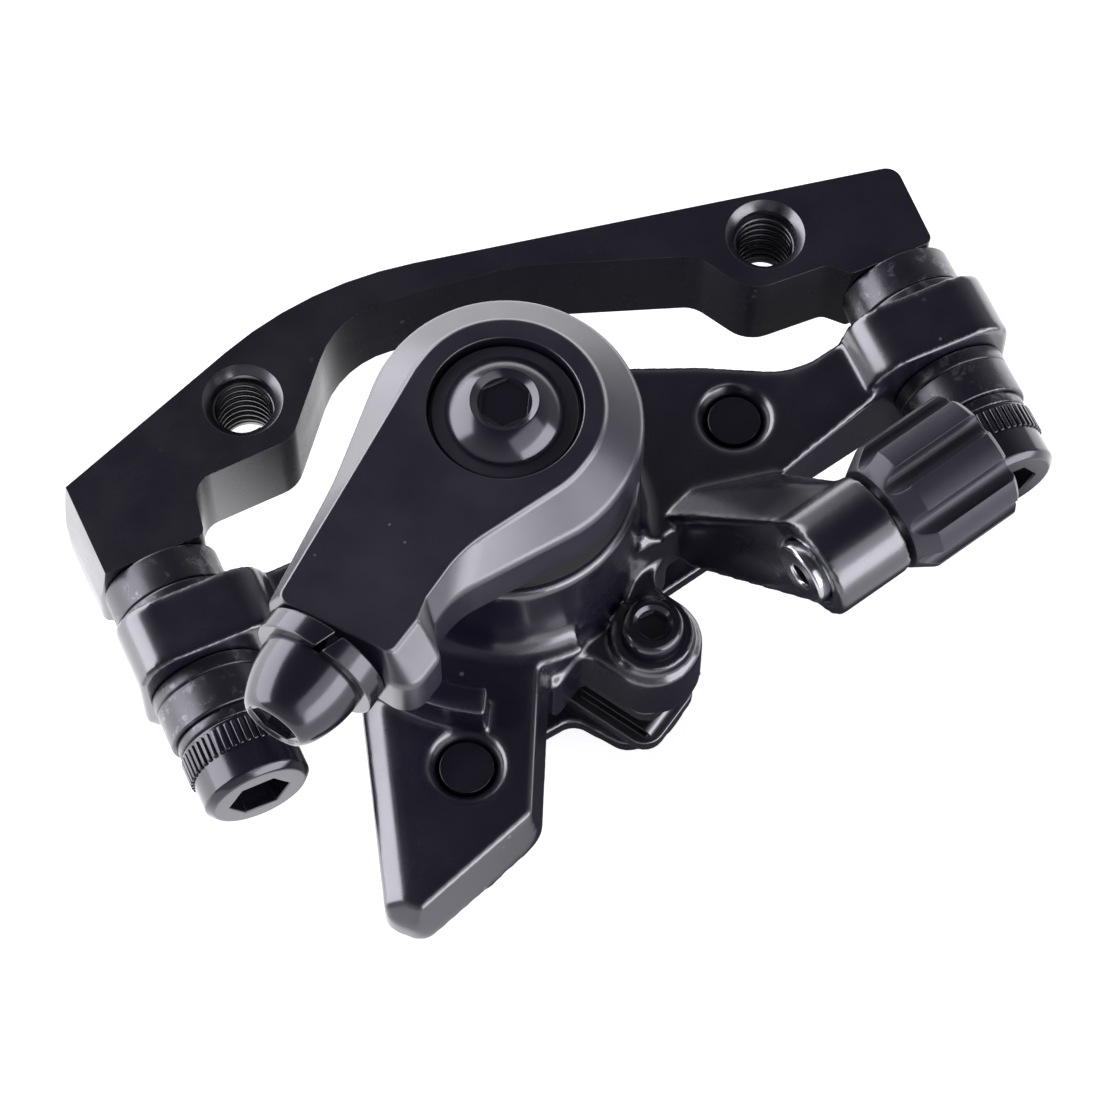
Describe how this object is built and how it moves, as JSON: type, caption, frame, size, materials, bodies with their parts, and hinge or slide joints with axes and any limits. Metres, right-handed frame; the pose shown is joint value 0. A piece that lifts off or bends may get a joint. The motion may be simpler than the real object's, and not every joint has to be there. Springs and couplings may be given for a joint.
{
  "type": "bicycle disc brake caliper",
  "caption": "Cable-pulled bicycle disc brake caliper with actuator arm, floating piston, barrel adjuster and a post mount adapter for frame holes.",
  "frame": {"origin": "midway between the two frame mount holes, on the outboard face of the adapter", "axes": "+X along the frame mount holes, +Y towards the hub, +Z outboard along the arm's pivot"},
  "size_m": [0.0873, 0.0609, 0.0541],
  "materials": {
    "black_adapter": "satin black paint on aluminium",
    "black_casting": "gloss black paint on cast aluminium",
    "black_arm": "satin black paint with bright bevels",
    "black_steel": "glossy black oxide",
    "black_washer": "worn black oxide",
    "hard_steel": "ground steel",
    "ball_steel": "polished steel",
    "spring_steel": "bright spring wire",
    "bronze": "sintered bronze",
    "cage_brass": "stamped brass",
    "magnet_plate": "nickel plated",
    "pad_steel": "blued steel",
    "pad_lining": "moulded friction compound",
    "adjuster_alloy": "anodised",
    "plated_barrel": "bright plating",
    "knob_plastic": "moulded black plastic",
    "black_rubber": "matt rubber"
  },
  "bodies": {
    "adapter": {"adapter_bracket": "black_adapter", "post_mount_bolts": "black_steel", "upper_concave_washers": "black_washer", "upper_convex_washers": "black_washer", "lower_convex_washers": "black_washer", "lower_concave_washers": "black_washer", "flat_washers": "black_washer"},
    "caliper": {"outer_body": "black_casting", "inner_body": "black_casting", "body_bolts": "black_steel", "shaft_bush": "bronze", "dust_cover": "black_rubber", "return_spring": "spring_steel", "thrust_washer": "bronze", "pad_pin_bolt": "black_steel", "pad_spring": "spring_steel"},
    "arm": {"actuator_arm": "black_arm", "arm_washer": "black_washer", "arm_pivot_bolt": "black_steel", "drive_shaft": "hard_steel", "cable_pinch_washer": "black_washer", "cable_pinch_bolt": "black_steel"},
    "ball_set": {"ball_cage": "cage_brass", "ramp_balls": "ball_steel"},
    "piston": {"pressure_piston": "hard_steel", "piston_magnet": "magnet_plate", "outer_pad_plate": "pad_steel", "outer_pad_lining": "pad_lining"},
    "inner_pad": {"inner_pad_plate": "pad_steel", "inner_pad_lining": "pad_lining"},
    "adjuster": {"pad_adjuster_screw": "adjuster_alloy", "adjuster_seal": "black_rubber"},
    "barrel": {"barrel_screw": "plated_barrel"},
    "knob": {"barrel_knob": "knob_plastic"}
  },
  "joints": [
    {"name": "caliper_align", "type": "slide", "parent": "adapter", "child": "caliper", "axis": [0, 0, 1], "range_m": [-0.0012, 0.0012]},
    {"name": "arm_pivot", "type": "hinge", "parent": "caliper", "child": "arm", "pos_m": [-0.0067, -0.0192, 0], "axis": [0, 0, 1], "range_deg": [0, 32], "stiffness_Nm_per_rad": 0.25, "springref_deg": -20.05},
    {"name": "ball_roll", "type": "hinge", "parent": "caliper", "child": "ball_set", "pos_m": [-0.0067, -0.0192, 0], "axis": [0, 0, 1], "range_deg": [-0.5, 16.5]},
    {"name": "piston_slide", "type": "slide", "parent": "caliper", "child": "piston", "axis": [0, 0, -1], "range_m": [-0.00002, 0.00152]},
    {"name": "inner_pad_slide", "type": "slide", "parent": "caliper", "child": "inner_pad", "axis": [0, 0, 1], "range_m": [-0.00002, 0.00072]},
    {"name": "adjuster_turn", "type": "hinge", "parent": "inner_pad", "child": "adjuster", "pos_m": [-0.0067, -0.0192, -0.024], "axis": [0, 0, 1], "range_deg": [0, 252]},
    {"name": "barrel_slide", "type": "slide", "parent": "caliper", "child": "barrel", "axis": [0.9563, 0.2924, 0], "range_m": [-0.00005, 0.00405]},
    {"name": "knob_turn", "type": "hinge", "parent": "barrel", "child": "knob", "pos_m": [0.01442, -0.03786, 0.011], "axis": [0.9563, 0.2924, 0], "range_deg": [0, 1440]}
  ],
  "couplings": [
    {"joint": "ball_roll", "follows": "arm_pivot", "ratio": 0.5},
    {"joint": "piston_slide", "follows": "arm_pivot", "m_per_rad": 0.0026857},
    {"joint": "inner_pad_slide", "follows": "adjuster_turn", "m_per_rad": 0.00015915},
    {"joint": "barrel_slide", "follows": "knob_turn", "m_per_rad": 0.00015915}
  ]
}
